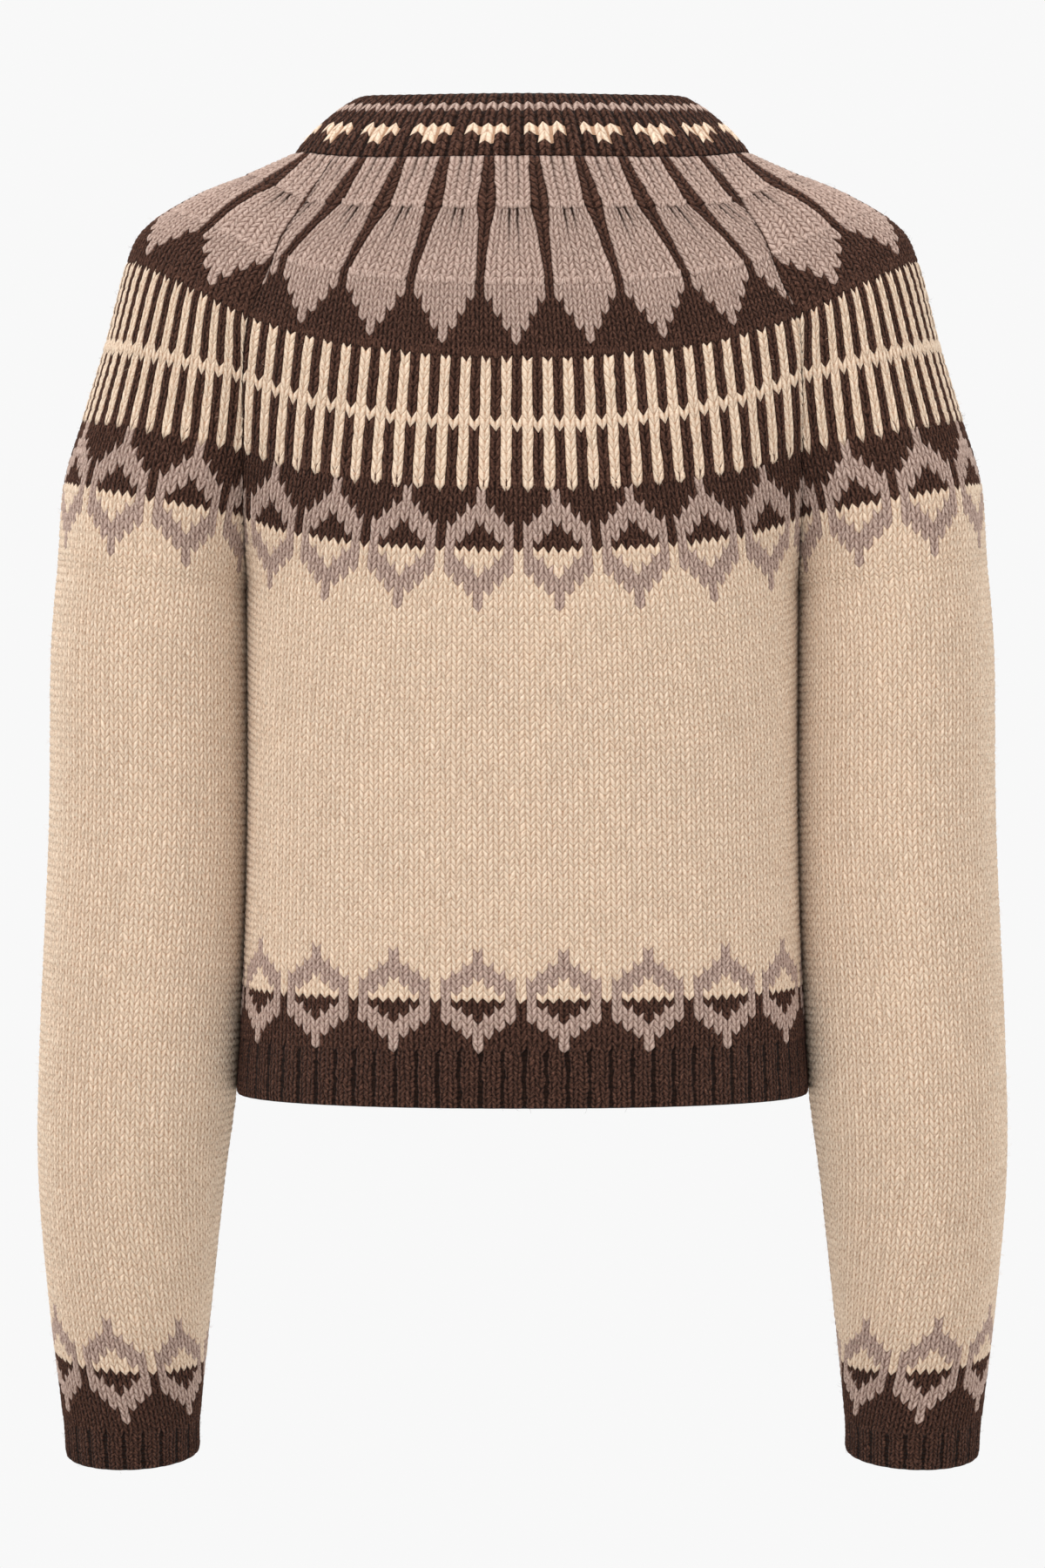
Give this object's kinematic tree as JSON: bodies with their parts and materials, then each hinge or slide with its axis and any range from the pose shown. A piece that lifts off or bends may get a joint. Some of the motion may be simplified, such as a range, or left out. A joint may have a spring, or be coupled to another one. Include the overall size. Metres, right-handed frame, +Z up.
{
  "type": "nordic cardigan",
  "caption": "Cropped raglan cardigan in heavy patterned wool, in its worn shape and empty, with ribbed neckband, hem, cuffs and buttoned front bands.",
  "frame": {"origin": "middle of the neck, level with the foot of the neckband at the back, where the wearer's shoulders and neck carry it", "axes": "+Z up; the wearer faces +Y, so the back faces -Y; +X is the wearer's right"},
  "size_m": [0.5194, 0.2264, 0.7336],
  "materials": {
    "patterned_wool": "soft matte knitted wool, cream with brown and taupe pattern bands",
    "brown_wool": "soft matte ribbed wool, dark brown heather",
    "horn_button": "satin dark brown horn-like resin"
  },
  "bodies": {
    "root": {"back": "patterned_wool", "front_left": "patterned_wool", "front_right": "patterned_wool", "sleeve_left": "patterned_wool", "sleeve_right": "patterned_wool", "neckband": "brown_wool", "hem_rib_back": "brown_wool", "hem_rib_front_left": "brown_wool", "hem_rib_front_right": "brown_wool", "cuff_left": "brown_wool", "cuff_right": "brown_wool", "button_band_left": "brown_wool", "button_band_right": "brown_wool", "button_1": "horn_button", "button_2": "horn_button", "button_3": "horn_button", "button_4": "horn_button", "button_5": "horn_button", "button_6": "horn_button", "button_7": "horn_button"}
  },
  "joints": []
}
